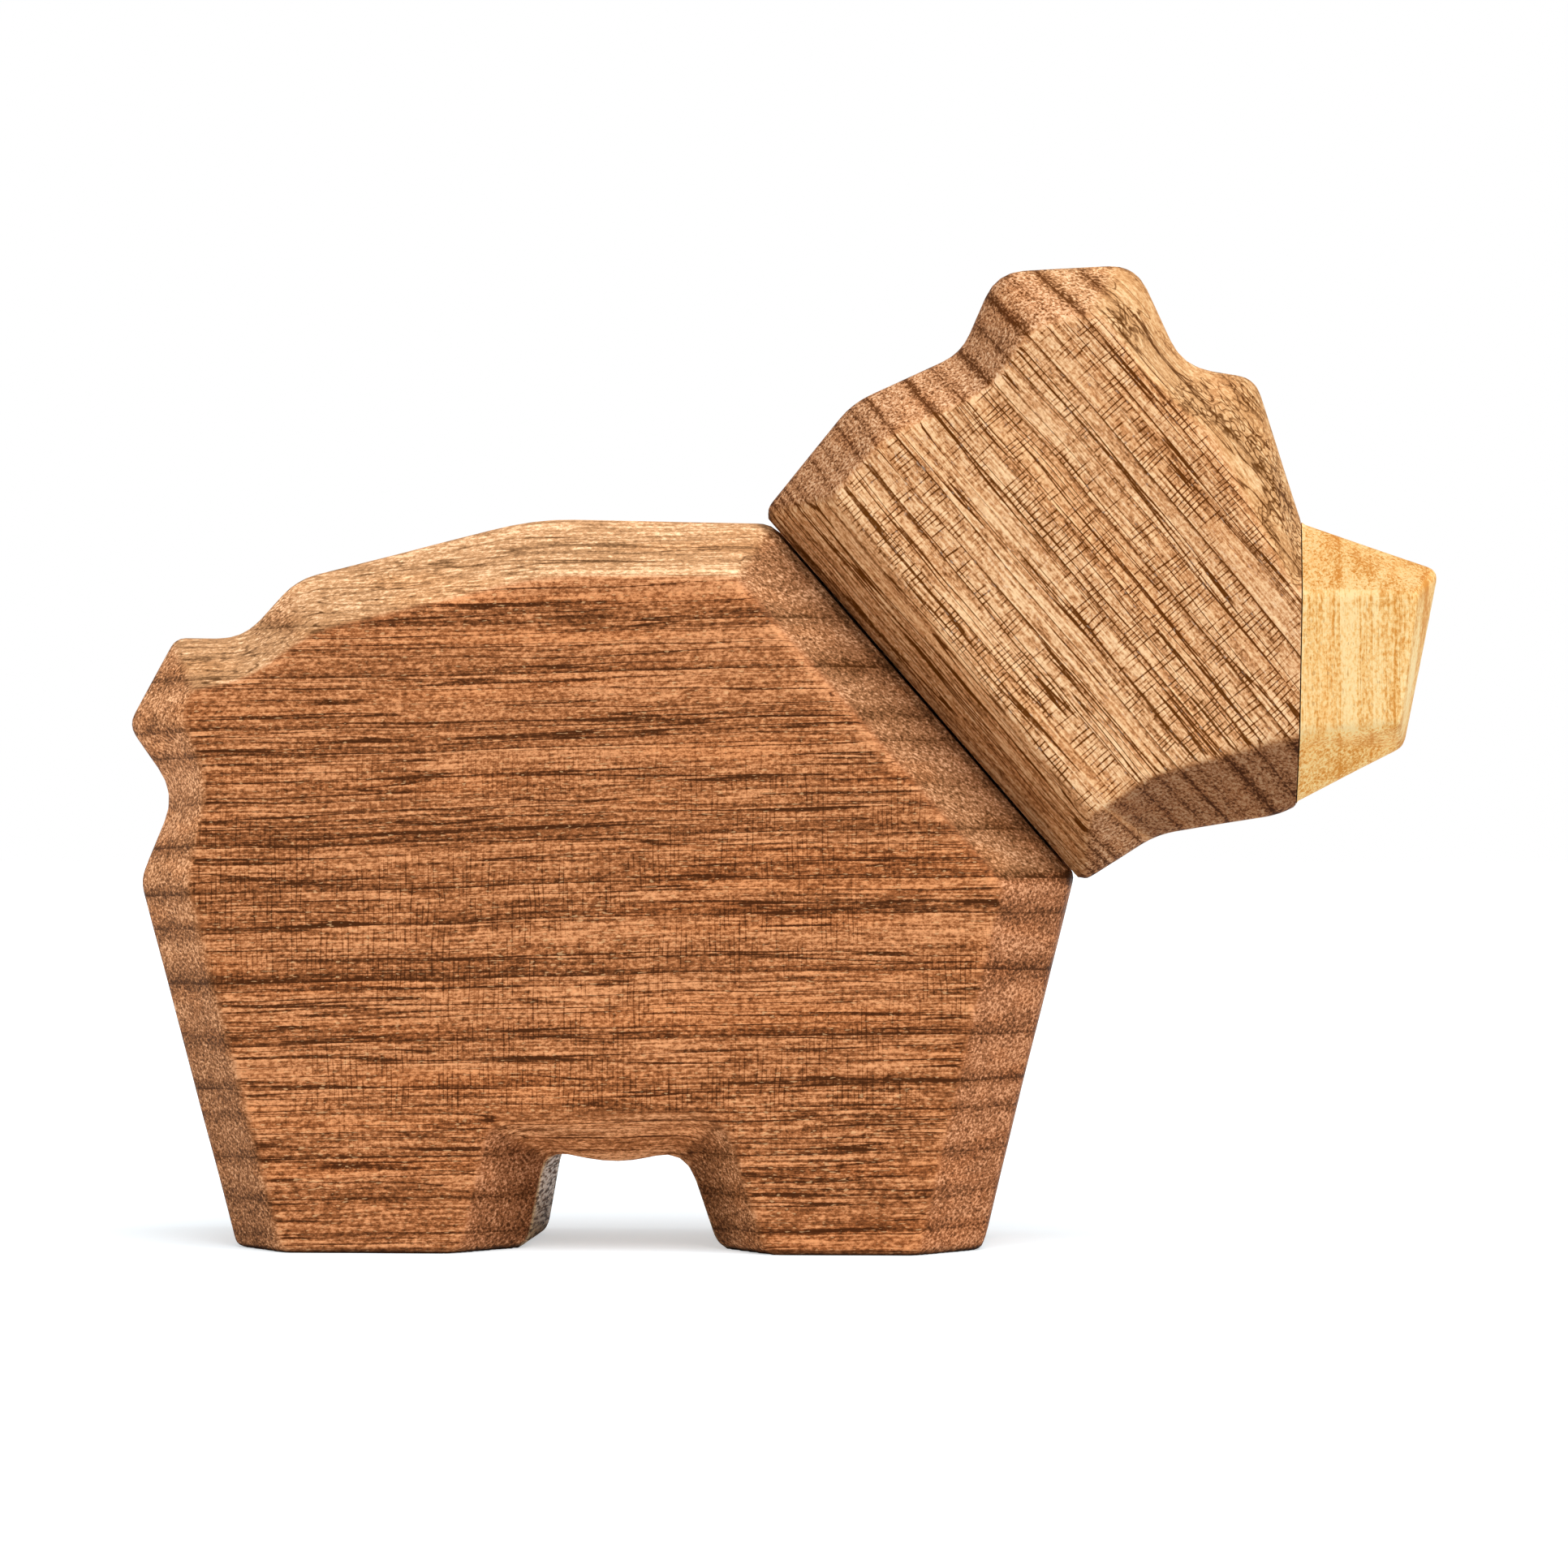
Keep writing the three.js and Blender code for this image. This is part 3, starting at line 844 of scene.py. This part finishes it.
@shared_group(
    "Oiled Wood",
    sockets("Vector", "Grain") | sockets("Float", "Ring", "Broad", "Band", "Ground")
    | sockets("Color", *WOOD_COLOURS) | sockets("Float", *WOOD_DEPTHS),
    sockets("Color", "Color") | sockets("Float", "Roughness", "Height", "Coat"),
)
def oiled_wood_group(sheet, taken):
    """Adds up the marks to one tone from dark to pale, and colours it for the way the grain is cut there."""
    grain = taken["Grain"]
    masks = sheet.group(mask_group(), {})
    marks = sheet.group(mark_group(), {"Grain": grain})
    ticks = sheet.group(tick_group(), {"Grain": grain, "Band": taken["Band"]})["Ticks"]
    tears = sheet.group(tear_group(), {"Grain": grain})
    ends = sheet.math("ABSOLUTE", masks["End"])
    heart = sheet.times(masks["Sawn"], -1.0, clamp=True)
    bevel = sheet.weigh_in(heart, 0.4, sheet.weigh_in(ends, -0.1, taken["Bevels"]))
    crisp = sheet.add("ShaderNodeMix", {0: masks["Side"], 2: bevel, 3: 1.0}).outputs[0]
    drawn = sheet.times(crisp, sheet.weigh_in(ends, -0.7, 1.0))
    streaked = sheet.weigh_in(heart, 1.2, crisp)
    sap = sheet.math("MAXIMUM", masks["Sawn"], 0.0)
    open_wood = sheet.step(taken["Ground"], *OPEN_WOOD)
    ticked = sheet.times(sheet.times(ticks, masks["Side"]), open_wood)
    torn = sheet.times(tears["Tears"], sap)
    feather = sheet.weigh_in(marks["Fibres"], 0.6, 1.0)
    broad = sheet.times(sheet.weigh_in(ends, 0.7, 0.3), taken["Bands"])
    broad = sheet.times(broad, taken["Broad"])
    bevel_ring = sheet.weigh_in(taken["Ring"], sheet.weigh_in(heart, 0.3, 0.55), broad)
    ringed = sheet.add("ShaderNodeMix", {0: masks["Side"], 2: bevel_ring, 3: taken["Ring"]}).outputs[0]
    inner = sheet.step(sheet.math("ABSOLUTE", sheet.part(grain, "Y")), *CALM_REACH)
    tangent = sheet.times(inner, sheet.math("ABSOLUTE", masks["Sawn"]))
    calm = sheet.weigh_in(tangent, -0.75, 1.0)
    ringed = sheet.times(sheet.times(ringed, feather), calm)
    dashes = sheet.times(marks["Fibres"], sheet.weigh_in(marks["Streaks"], -0.4, 1.0))
    layers = (
        (marks["Streaks"], streaked, "Streaks", 1.0),
        (dashes, drawn, "Fibres", 1.0),
        (marks["Lines"], sheet.times(drawn, calm), "Lines", -1.0),
        (marks["Grit"], crisp, "Grit", 1.0),
        (marks["Pits"], ends, "Pits", 1.0),
        (sheet.math("SUBTRACT", tears["Worms"], 0.45), ends, "Pits", 0.4),
        (ringed, 1.0, "Rings", -1.0),
        (ticked, 1.0, "Ticks", -1.0),
        (torn, 1.0, "Tears", -1.0),
    )
    tone = sheet.weigh_in(sheet.math("SUBTRACT", taken["Ground"], 0.5), crisp, 0.5)
    for mark, share, depth, sign in layers:
        depth = sheet.times(taken[depth], sign)
        tone = sheet.weigh_in(sheet.times(mark, share), depth, tone)
    # Pale ridges: partly rubbed wood, partly a painted highlight along the edges.
    rubbed_and_highlit = sheet.step(marks["Streaks"], *LEVELS["ridge_rub_and_highlight"])
    tone = sheet.weigh_in(sheet.times(masks["Ridge"], rubbed_and_highlit), RIDGE_TONE, tone)
    # Rims get a painted dark edge, for the dark outline along the silhouette.
    tone = sheet.weigh_in(masks["Rim"], RIM_TONE, tone)
    tone = sheet.weigh_in(masks["Shade"], SHADE_TONE, tone)

    tint = taken["Middle"]
    for mask, sign, cut in CUTS:
        share = sheet.times(masks[mask], sign, clamp=True)
        tint = sheet.mix(sheet.times(share, taken["Tints"]), tint, taken[cut])
    tint = sheet.mix(1.0, tint, taken["Middle"], blend="DIVIDE")
    tone = sheet.step(tone, *TONES)
    colour = sheet.mix(sheet.step(tone, 0.0, 0.5, kind="LINEAR"), taken["Dark"], taken["Middle"])
    colour = sheet.mix(sheet.step(tone, 0.5, 1.0, kind="LINEAR"), colour, taken["Pale"])
    colour = sheet.mix(1.0, colour, tint, blend="MULTIPLY")
    warm = sheet.step(sheet.swing(grain, "warm patches"), *LEVELS["warmth"], 0.0, WARM_SHARE)
    colour = sheet.mix(warm, colour, WARM_CAST, blend="MULTIPLY")
    saw_marks = sheet.swing(grain, "saw marks")
    # The arch's walls get a pale colour: partly raw sawn wood, partly a painted reflection of the bright
    # floor.
    sawn_and_reflection = sheet.scaled(SAWN_AND_REFLECTION_COLOUR, sheet.step(saw_marks, *SAW_DEPTHS, *SAWN_TONES))
    colour = sheet.mix(sheet.times(masks["Wall"], SAWN_SHARE), colour, sawn_and_reflection)
    colour = sheet.scaled(colour, sheet.weigh_in(masks["Shade"], SHADE_DIM, 1.0))
    specked = sheet.times(sheet.times(marks["Specks"], masks["Side"]), taken["Specks"])
    colour = sheet.mix(specked, colour, taken["Speck"])
    height = sheet.weigh_in(marks["Lines"], -1.0, marks["Fibres"])
    height = sheet.weigh_in(ticked, TICK_RELIEF, height)
    height = sheet.weigh_in(torn, TEAR_RELIEF, height)
    rough = sheet.weigh_in(tone, 0.15, 0.5)
    sheen = sheet.times(masks["Wall"], sheet.step(saw_marks, *SAW_DEPTHS, *SAWN_SHEEN))
    return {"Color": colour, "Roughness": rough, "Height": height, "Coat": sheen}


def ring_steps(sheet, height, rings):
    """Place in a ring, from 0 at its pale start to 1 at its dark end, its count, darkness and tone."""
    first = rings[0][0]
    last = rings[-1][0]
    share = sheet.step(height, first, last, kind="LINEAR")
    ramp = sheet.add("ShaderNodeValToRGB", {"Fac": share})
    stops = ramp.color_ramp.elements
    while len(stops) < len(rings):
        stops.new(0.5)
    for count, (place, darkness, ground) in enumerate(rings):
        stops[count].position = (place - first) / (last - first)
        stops[count].color = (count / len(rings), darkness, ground, 1.0)
    parts = sheet.add("ShaderNodeSeparateColor", {"Color": ramp.outputs["Color"]}).outputs
    count = sheet.times(parts["Red"], float(len(rings)))
    return sheet.math("FRACT", count), sheet.math("FLOOR", count), parts["Green"], parts["Blue"]


@shared_group(
    "Ring Edge",
    sockets("Vector", "Grain") | sockets("Float", "Phase", "Darkness", "Sharpness", "Shade", "Fade"),
    sockets("Float", "Ring", "Broad"),
)
def ring_edge_group(sheet, taken):
    """A ring's darkness, which grows slowly to a thin line at its end that comes and goes along the grain."""
    line = sheet.math("POWER", taken["Phase"], taken["Sharpness"])
    soft = sheet.times(sheet.math("POWER", taken["Phase"], 2.5), taken["Shade"])
    comes = sheet.swing(taken["Grain"], "ring fading")
    line = sheet.times(line, sheet.weigh_in(comes, taken["Fade"], 0.95))
    dark = sheet.math("MAXIMUM", line, soft)
    from_middle = sheet.math("ABSOLUTE", sheet.math("SUBTRACT", taken["Phase"], 0.5))
    band = sheet.step(from_middle, 0.15, 0.5)
    return {
        "Ring": sheet.times(dark, taken["Darkness"]),
        "Broad": sheet.times(band, sheet.math("POWER", taken["Darkness"], 1.5)),
    }


def column(table, kind):
    """What a table says for one kind of wood."""
    return {label: values[kind] for label, values in table.items()}


def ring_marks(sheet, grain, kind):
    """A wood's rings, their count for shifting ticks, and how pale the wood is between them."""
    height = sheet.part(grain, "Z")
    if kind == PLUG_WOOD:
        count = sheet.math("DIVIDE", height, PLUG_RING)
        dark = sheet.math("POWER", sheet.math("FRACT", count), 4.0)
        return {"Ring": dark, "Broad": dark, "Band": sheet.math("FLOOR", count), "Ground": 0.55}
    phase, band, darkness, ground = ring_steps(sheet, height, WOOD_RINGS[kind])
    inputs = {"Grain": grain, "Phase": phase, "Darkness": darkness, **column(RING_ENDS, kind)}
    dark = sheet.group(ring_edge_group(), inputs)
    band = 0.0 if kind == BODY_WOOD else band
    return {**dark, "Band": band, "Ground": ground}


def new_material(name):
    material = bpy.data.materials.new(name)
    material.use_nodes = True
    return material, NodeSheet(material.node_tree)


def give_surface(sheet, surface):
    shader = sheet.add("ShaderNodeBsdfPrincipled", surface)
    sheet.add("ShaderNodeOutputMaterial", {"Surface": shader.outputs["BSDF"]})


def wood_material(name, kind, along, out, origin, colours):
    """An oiled wood: its column in the tables, its grain's directions and its colours."""
    material, sheet = new_material(name)
    directions = {"Along": tuple(along), "Out": tuple(out), "Origin": tuple(origin)}
    straight = sheet.group(grain_frame_group(), directions)["Grain"]
    grain = sheet.group(flow_group(), {"Grain": straight, **column(WOOD_FLOWS, kind)})["Grain"]
    inputs = {"Grain": grain, **ring_marks(sheet, grain, kind), **column(WOOD_DEPTHS, kind)}
    for label in WOOD_COLOURS:
        inputs[label] = (*getattr(colours, label.lower().replace(" ", "_")), 1.0)
    wood = sheet.group(oiled_wood_group(), inputs)
    bumped = {"Height": wood["Height"], "Strength": WOOD_BUMPS[kind], "Distance": BUMP_DEPTH}
    normal = sheet.add("ShaderNodeBump", bumped).outputs["Normal"]
    surface = {
        "Base Color": wood["Color"],
        "Roughness": wood["Roughness"],
        "Normal": normal,
        "Specular IOR Level": WOOD_GLOSS,
        "Coat Weight": wood["Coat"],
        "Coat Roughness": COAT_ROUGHNESS,
    }
    give_surface(sheet, surface)
    return material


def nickel_plate():
    material, sheet = new_material("Nickel Plate")
    directions = {"Along": (0, 1, 0), "Out": tuple(NECK_OUT), "Origin": (0, 0, 0)}
    grain = sheet.group(grain_frame_group(), directions)["Grain"]
    scuffs = sheet.noise(grain, "scuffs")
    clouds = sheet.noise(grain, "clouds")
    dull = (0.62, 0.63, 0.65, 1.0)
    bright = (0.78, 0.77, 0.75, 1.0)
    surface = {
        "Base Color": sheet.mix(clouds, dull, bright),
        "Roughness": sheet.step(scuffs, 0.3, 0.7, 0.16, 0.34),
        "Metallic": 1.0,
    }
    give_surface(sheet, surface)
    return material


def studio_floor(studio):
    """A floor that glows white to the eye, takes soft shadows and throws some light back at the bear."""
    material, sheet = new_material("Studio Floor")
    seen = sheet.add("ShaderNodeLightPath", {}).outputs["Is Camera Ray"]
    bounce = (studio.bounce, studio.bounce, studio.bounce, 1.0)
    colour = sheet.mix(seen, bounce, (*studio.floor_white, 1.0))
    shader = sheet.add("ShaderNodeBsdfDiffuse", {"Color": colour})
    strength = sheet.times(seen, studio.floor_glow)
    glow = sheet.add("ShaderNodeEmission", {"Strength": strength})
    both = sheet.add("ShaderNodeAddShader", {0: shader.outputs["BSDF"], 1: glow.outputs["Emission"]})
    sheet.add("ShaderNodeOutputMaterial", {"Surface": both.outputs["Shader"]})
    return material


# Operators: one for each piece or group of like pieces, and one for the stage.


class BEAR_OT_body(Operator):
    """Makes the walnut body with its legs and tail."""

    bl_idname = "bear.body"
    bl_label = "Body Block"

    def execute(self, context):
        shape = context.scene.bear_shape
        mesh = neck_block("body", [cad_mesh("body_block")], "body_block", 1, shape)
        paint_masks(mesh, np.array((-1.0, 0.0, 0.0)), np.array((0.0, 0.0, 1.0)), shape.carving_step)
        points = points_of(mesh)
        normals = normals_of(mesh)
        from_arch = np.linalg.norm((points - ARCH_MIDDLE)[:, [0, 2]], axis=1)
        in_arch = smooth_step(-from_arch, -ARCH_REACH[1], -ARCH_REACH[0])
        sideways = np.abs(normals[:, 1])
        through = smooth_step(-sideways, *THROUGH_RANGE)
        around = smooth_step(-sideways, *AROUND_RANGE)
        bevels = (1 - through) * around
        forwards = smooth_step(normals[:, 0], *FACING_RANGE)
        backwards = smooth_step(-normals[:, 0], *FACING_RANGE)
        upwards = smooth_step(normals[:, 2], *FACING_RANGE)
        low_rump = smooth_step(-points[:, 2], *RUMP_DIM)
        sawn = in_arch * through * smooth_step(np.abs(normals[:, 0]), *ARCH_WALL_RANGE)
        shades = (
            # Painted shade on the arch's bevels, stronger on those that face backwards, away from the light.
            in_arch * bevels * (ARCH_FORWARD_SHADE * forwards + ARCH_BACKWARD_SHADE * backwards),
            # Painted shade on the rump's low, backward-facing facets, which face away from the light.
            RUMP_SHADE * backwards * low_rump * around * (1 - in_arch * through),
            # Painted shade that tones down the shoulder's bevels, which face up and forwards into the light.
            SHOULDER_SHADE * forwards * upwards * bevels,
            # Painted contact shadow: a dark line just above the soles.
            smooth_step(-points[:, 2], -SOLE_DIM, 0.0),
            # Painted shade in the crevice along the neck, where the head meets the body.
            BODY_NECK_SHADE * neck_shade(points, normals, *BODY_NECK_REACH),
            # Painted shade on the arch's sawn walls, darker towards the floor.
            ARCH_WALL_SHADE * sawn * smooth_step(-points[:, 2], -WALL_DIM, 0.0),
        )
        set_mask(mesh, "Shade", np.maximum.reduce(shades))
        set_mask(mesh, "Wall", sawn)
        piece = new_piece("body", mesh)
        cut_bore(piece, bore_cutter("body_block", 1, shape))
        grain = ((1, 0, 0), (0, 0, 1), (0, 0, -BODY_RING_LIFT))
        walnut = wood_material("Walnut Body", BODY_WOOD, *grain, context.scene.bear_body_walnut)
        finish_piece(piece, walnut, "body", "body_block")
        return {"FINISHED"}


class BEAR_OT_head(Operator):
    """Makes the walnut head and the maple muzzle from one glued and sanded blank."""

    bl_idname = "bear.head"
    bl_label = "Head and Muzzle"

    def execute(self, context):
        scene = context.scene
        shape = scene.bear_shape
        origin, way = seam_plane()
        muzzle_solid = cad_mesh("muzzle")
        for vert in muzzle_solid.verts:
            off = (vert.co - Vector(origin)) @ Vector(way)
            if off < SEAM_REACH:
                vert.co -= (off + SEAM_OVERLAP) * Vector(way)
        blank = neck_block("head_blank", [cad_mesh("head_block"), muzzle_solid], "head_block", -1, shape)
        half_gap = 0.5 * shape.glue_line * way
        paint_masks(blank, NECK_UP, NECK_OUT, shape.carving_step)
        points = points_of(blank)
        normals = normals_of(blank)
        on_neck = (points - NECK_MIDDLE) @ np.stack((NECK_OUT, NECK_UP), axis=1)
        chin = smooth_step((on_neck - THROAT_RIDGE) @ THROAT_WAY, -THROAT_BLEND, THROAT_BLEND)
        ends = signed_step(normals @ NECK_UP, *END_RANGE)
        set_mask(blank, "End", np.where(ends < 0, ends * (2 * chin - 1), ends))
        nape = smooth_step(-normals[:, 0], *NAPE_RANGE) * smooth_step(-np.abs(normals[:, 1]), *AROUND_RANGE)
        nape *= smooth_step(normals[:, 2], *ABOVE_RANGE)
        throat = (1 - chin) * smooth_step(-normals @ NECK_UP, *END_RANGE)
        low_head = smooth_step(-on_neck[:, 1], *LOW_HEAD)
        wide = neck_shade(points, normals, *HEAD_NECK_WIDE)
        shades = (
            # Painted shade on the nape's bevels, which face away from the light.
            NAPE_SHADE * nape,
            # Painted shade on the throat, which faces down, away from the light.
            THROAT_SHADE * throat,
            # Painted shade in the crevice along the neck, where the head meets the body.
            neck_shade(points, normals, *HEAD_NECK_NARROW),
            # Wider painted shade over the neck-side bevel, stronger lower down where the floor's light
            # reaches.
            wide * (HEAD_NECK_SHADE + LOW_HEAD_NECK_SHADE * low_head),
        )
        set_mask(blank, "Shade", np.maximum.reduce(shades))
        head = new_piece("head", half_of(blank, "head", origin - half_gap, way))
        seam_up = np.array((-way[2], 0.0, way[0]))
        paint_masks(blank, seam_up, way, shape.carving_step)
        muzzle = new_piece("muzzle_tip", half_of(blank, "muzzle_tip", origin + half_gap, -way))
        bpy.data.meshes.remove(blank)
        cut_bore(head, bore_cutter("head_block", -1, shape))
        grain = (-NECK_UP, NECK_OUT, NECK_MIDDLE)
        walnut = wood_material("Walnut Head", HEAD_WOOD, *grain, scene.bear_head_walnut)
        finish_piece(head, walnut, "head", "head_block")
        grain = (seam_up, way, origin)
        maple = wood_material("Maple Muzzle", MUZZLE_WOOD, *grain, scene.bear_muzzle_maple)
        finish_piece(muzzle, maple, "head", "muzzle")
        return {"FINISHED"}


def turned_pieces(nodes, material, shape):
    """Smooth turned discs in the places of CAD discs, each on its body."""
    for node, body in nodes.items():
        name = node + "_disc"
        mesh = disc_mesh(name, *bore_of(node), shape.disc_round, shape.disc_sides)
        finish_piece(new_piece(name, mesh), material, body, node)


class BEAR_OT_magnets(Operator):
    """Makes the two nickel-plated disc magnets in the neck."""

    bl_idname = "bear.magnets"
    bl_label = "Neck Magnets"

    def execute(self, context):
        nodes = {"body_magnet": "body", "head_magnet": "head_disc"}
        turned_pieces(nodes, nickel_plate(), context.scene.bear_shape)
        return {"FINISHED"}


class BEAR_OT_plugs(Operator):
    """Makes the two wooden plugs that close the magnets' bores."""

    bl_idname = "bear.plugs"
    bl_label = "Bore Plugs"

    def execute(self, context):
        nodes = {"body_magnet_plug": "body", "head_magnet_plug": "head"}
        grain = (NECK_OUT, NECK_UP, NECK_MIDDLE)
        walnut = wood_material("Walnut Plug", PLUG_WOOD, *grain, context.scene.bear_body_walnut)
        turned_pieces(nodes, walnut, context.scene.bear_shape)
        return {"FINISHED"}


def make_camera(scene, studio):
    lens = bpy.data.cameras.new("camera")
    lens.sensor_width = SENSOR_WIDTH
    lens.lens = studio.lens
    lens.clip_start = CLIP_START
    lens.clip_end = CLIP_END
    camera = bpy.data.objects.new("camera", lens)
    camera.location = studio.eye
    look = Vector((-math.sin(studio.turn), math.cos(studio.turn), 0.0))
    camera.rotation_euler = look.to_track_quat("-Z", "Y").to_euler()
    scene.collection.objects.link(camera)
    scene.camera = camera


def make_lights(scene, studio):
    lamp = bpy.data.lights.new("key", "SUN")
    lamp.energy = studio.key_strength
    lamp.angle = studio.key_spread
    key = bpy.data.objects.new("key", lamp)
    level = math.cos(studio.key_rise)
    stand = Vector((
        level * math.sin(studio.key_swing),
        -level * math.cos(studio.key_swing),
        math.sin(studio.key_rise),
    ))
    key.rotation_euler = (-stand).to_track_quat("-Z", "Y").to_euler()
    scene.collection.objects.link(key)


def make_world(scene, studio):
    world = bpy.data.worlds.new("studio")
    world.use_nodes = True
    sheet = NodeSheet(world.node_tree)
    seen = sheet.add("ShaderNodeLightPath", {}).outputs["Is Camera Ray"]
    fill = sheet.add("ShaderNodeBackground", {"Strength": studio.fill}).outputs[0]
    white = sheet.add("ShaderNodeBackground", {"Color": (1, 1, 1, 1), "Strength": 1.0}).outputs[0]
    both = sheet.add("ShaderNodeMixShader", {0: seen, 1: fill, 2: white}).outputs[0]
    sheet.add("ShaderNodeOutputWorld", {"Surface": both})
    scene.world = world


class BEAR_OT_stage(Operator):
    """Makes the white floor, the light and the camera."""

    bl_idname = "bear.stage"
    bl_label = "Stage"

    def execute(self, context):
        scene = context.scene
        studio = scene.bear_studio
        made = bmesh.new()
        bmesh.ops.create_grid(made, x_segments=FLOOR_CELLS, y_segments=FLOOR_CELLS, size=FLOOR_HALF)
        mesh = bpy.data.meshes.new("floor")
        made.to_mesh(mesh)
        made.free()
        mesh.materials.append(studio_floor(studio))
        floor = new_piece("floor", mesh)
        floor.location.z = CAD_LOW.z
        make_lights(scene, studio)
        make_world(scene, studio)
        make_camera(scene, studio)
        scene.view_settings.view_transform = "Standard"
        return {"FINISHED"}


STEPS = (BEAR_OT_body, BEAR_OT_head, BEAR_OT_magnets, BEAR_OT_plugs, BEAR_OT_stage)
SETTINGS = {
    "bear_shape": BearShape,
    "bear_body_walnut": BodyWalnut,
    "bear_head_walnut": HeadWalnut,
    "bear_muzzle_maple": MuzzleMaple,
    "bear_studio": BearStudio,
}


class BEAR_PT_panel(Panel):
    """Lists the bear's settings and the steps that make it."""

    bl_idname = "BEAR_PT_panel"
    bl_label = "Wooden Bear"
    bl_space_type = "VIEW_3D"
    bl_region_type = "UI"
    bl_category = "Bear"

    def draw(self, context):
        for name, kind in SETTINGS.items():
            box = self.layout.box()
            for label in kind.__annotations__:
                box.prop(getattr(context.scene, name), label)
        for step in STEPS:
            self.layout.operator(step.bl_idname)


CLASSES = (*SETTINGS.values(), *STEPS, BEAR_PT_panel)


def register():
    for kind in CLASSES:
        bpy.utils.register_class(kind)
    for name, kind in SETTINGS.items():
        setattr(bpy.types.Scene, name, PointerProperty(type=kind))


def unregister():
    for name in SETTINGS:
        delattr(bpy.types.Scene, name)
    for kind in reversed(CLASSES):
        bpy.utils.unregister_class(kind)


def main():
    register()
    bpy.ops.bear.body()
    bpy.ops.bear.head()
    bpy.ops.bear.magnets()
    bpy.ops.bear.plugs()
    bpy.ops.bear.stage()


if __name__ == "__main__":
    main()
